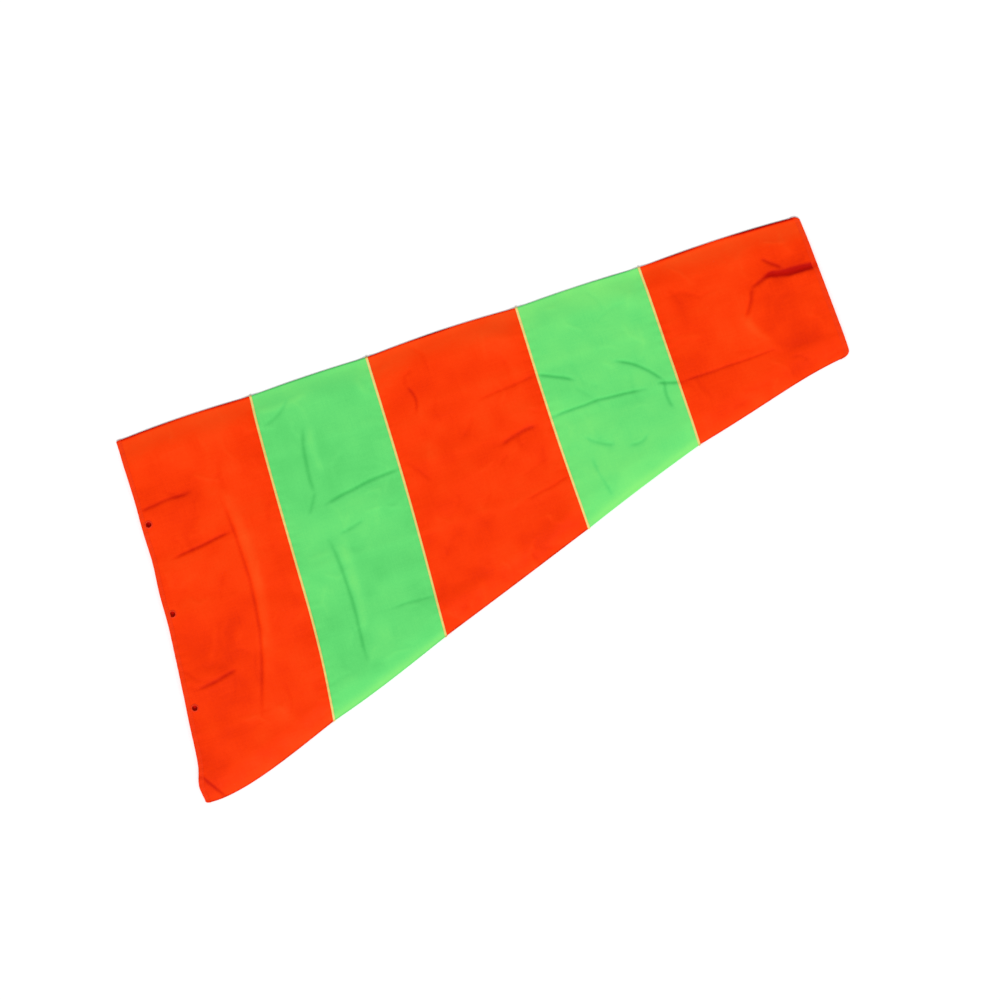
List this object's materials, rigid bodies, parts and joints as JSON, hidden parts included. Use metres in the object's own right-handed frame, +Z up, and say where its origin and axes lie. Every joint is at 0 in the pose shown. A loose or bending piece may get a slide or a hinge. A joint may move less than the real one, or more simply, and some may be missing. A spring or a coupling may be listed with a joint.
{
  "type": "windsock",
  "caption": "Tapered cloth windsock sleeve laid flat, in alternating orange and green bands with piped seams, open at mouth and tail, with eyelets along the mouth; no pole.",
  "frame": {"origin": "under the middle of the flat sleeve's box, on the surface it lies on", "axes": "+X along the sleeve's middle line from mouth to tail, +Y towards the folded edge, +Z up from the surface it lies on"},
  "size_m": [1.0684, 0.4918, 0.0098],
  "materials": {
    "orange_cloth": "coated plain weave, satin",
    "green_cloth": "coated plain weave, satin",
    "yellow_piping": "woven piping, matte",
    "orange_thread": "stitched thread, satin"
  },
  "bodies": {
    "mouth_section": {"band_1_orange": "orange_cloth", "side_seam_1": "orange_cloth", "piping_1": "yellow_piping", "mouth_hem": "orange_cloth", "eyelet_upper_1": "orange_thread", "eyelet_upper_2": "orange_thread", "eyelet_upper_3": "orange_thread", "eyelet_lower_1": "orange_thread", "eyelet_lower_2": "orange_thread", "eyelet_lower_3": "orange_thread"},
    "second_section": {"band_2_green": "green_cloth", "side_seam_2": "green_cloth", "piping_2": "yellow_piping"},
    "third_section": {"band_3_orange": "orange_cloth", "side_seam_3": "orange_cloth", "piping_3": "yellow_piping"},
    "fourth_section": {"band_4_green": "green_cloth", "side_seam_4": "green_cloth", "piping_4": "yellow_piping"},
    "tail_section": {"band_5_orange": "orange_cloth", "side_seam_5": "orange_cloth", "tail_hem": "orange_cloth"}
  },
  "joints": [
    {"name": "seam_1_bend", "type": "hinge", "parent": "mouth_section", "child": "second_section", "pos_m": [-0.28254, -0.00279, 0.0045], "axis": [-0.2149, -0.9766, 0], "range_deg": [0, 40]},
    {"name": "seam_2_bend", "type": "hinge", "parent": "second_section", "child": "third_section", "pos_m": [-0.10794, 0.00155, 0.0045], "axis": [-0.1899, -0.9818, 0], "range_deg": [0, 40]},
    {"name": "seam_3_bend", "type": "hinge", "parent": "third_section", "child": "fourth_section", "pos_m": [0.11639, 0.00696, 0.0045], "axis": [-0.1494, -0.9888, 0], "range_deg": [0, 40]},
    {"name": "seam_4_bend", "type": "hinge", "parent": "fourth_section", "child": "tail_section", "pos_m": [0.2944, 0.01043, 0.0045], "axis": [-0.1376, -0.9905, 0], "range_deg": [0, 40]}
  ]
}
